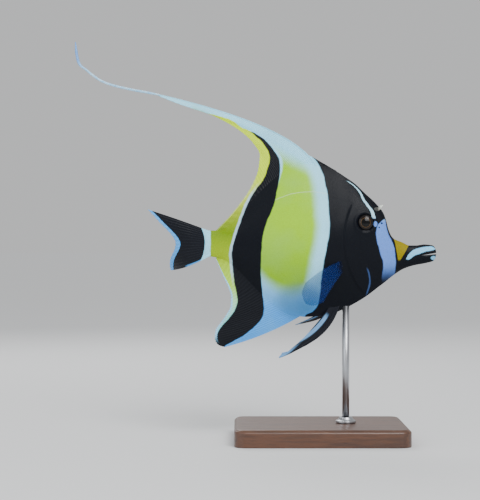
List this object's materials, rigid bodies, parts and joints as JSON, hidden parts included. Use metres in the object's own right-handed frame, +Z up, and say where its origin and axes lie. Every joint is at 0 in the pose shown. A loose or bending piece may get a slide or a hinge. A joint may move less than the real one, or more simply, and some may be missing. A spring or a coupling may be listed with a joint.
{
  "type": "moorish idol fish model",
  "caption": "Life-size moorish idol reef fish with a long dorsal streamer, banded black, white and yellow, held level by one rod on a flat wooden stand.",
  "frame": {"origin": "centre of the underside of the stand's base", "axes": "+X towards the snout, the fish's left side faces +Y, +Z up"},
  "size_m": [0.2533, 0.084, 0.2793],
  "materials": {
    "head_skin": "satin wet-look skin, black with a white face patch and a yellow saddle",
    "body_skin": "satin skin of minute scales, black, white and yellow bands",
    "peduncle_skin": "satin skin, olive yellow with a white edge",
    "eye": "glossy dark eye",
    "horn": "pale bone, satin",
    "dorsal_membrane": "satin fin membrane, white with a yellow rear edge and a black band",
    "spine_skin": "satin black skin over short spines",
    "streamer": "satin white filament",
    "anal_membrane": "satin fin membrane, black with a pale rear edge",
    "tail_membrane": "satin black fin membrane with a pale blue edge",
    "pectoral_membrane": "clear bluish fin membrane",
    "pelvic_membrane": "satin black fin membrane",
    "stand_wood": "dark stained wood, satin",
    "stand_steel": "brushed"
  },
  "bodies": {
    "root": {"head": "head_skin", "lower_jaw": "head_skin", "trunk": "body_skin", "peduncle": "peduncle_skin", "eye_right": "eye", "eye_left": "eye", "horn_right": "horn", "horn_left": "horn", "dorsal_fin_front": "spine_skin", "dorsal_fin": "dorsal_membrane", "dorsal_fin_middle": "dorsal_membrane", "dorsal_fin_rear": "dorsal_membrane", "dorsal_streamer_1": "streamer", "dorsal_streamer_2": "streamer", "dorsal_streamer_3": "streamer", "anal_fin_front": "anal_membrane", "anal_fin_rear": "anal_membrane", "caudal_fin_upper": "tail_membrane", "caudal_fin_lower": "tail_membrane", "pectoral_fin_right": "pectoral_membrane", "pectoral_fin_left": "pectoral_membrane", "pelvic_fin_right": "pelvic_membrane", "pelvic_fin_left": "pelvic_membrane", "stand_base": "stand_wood", "stand_rod": "stand_steel", "stand_collar": "stand_steel"}
  },
  "joints": []
}
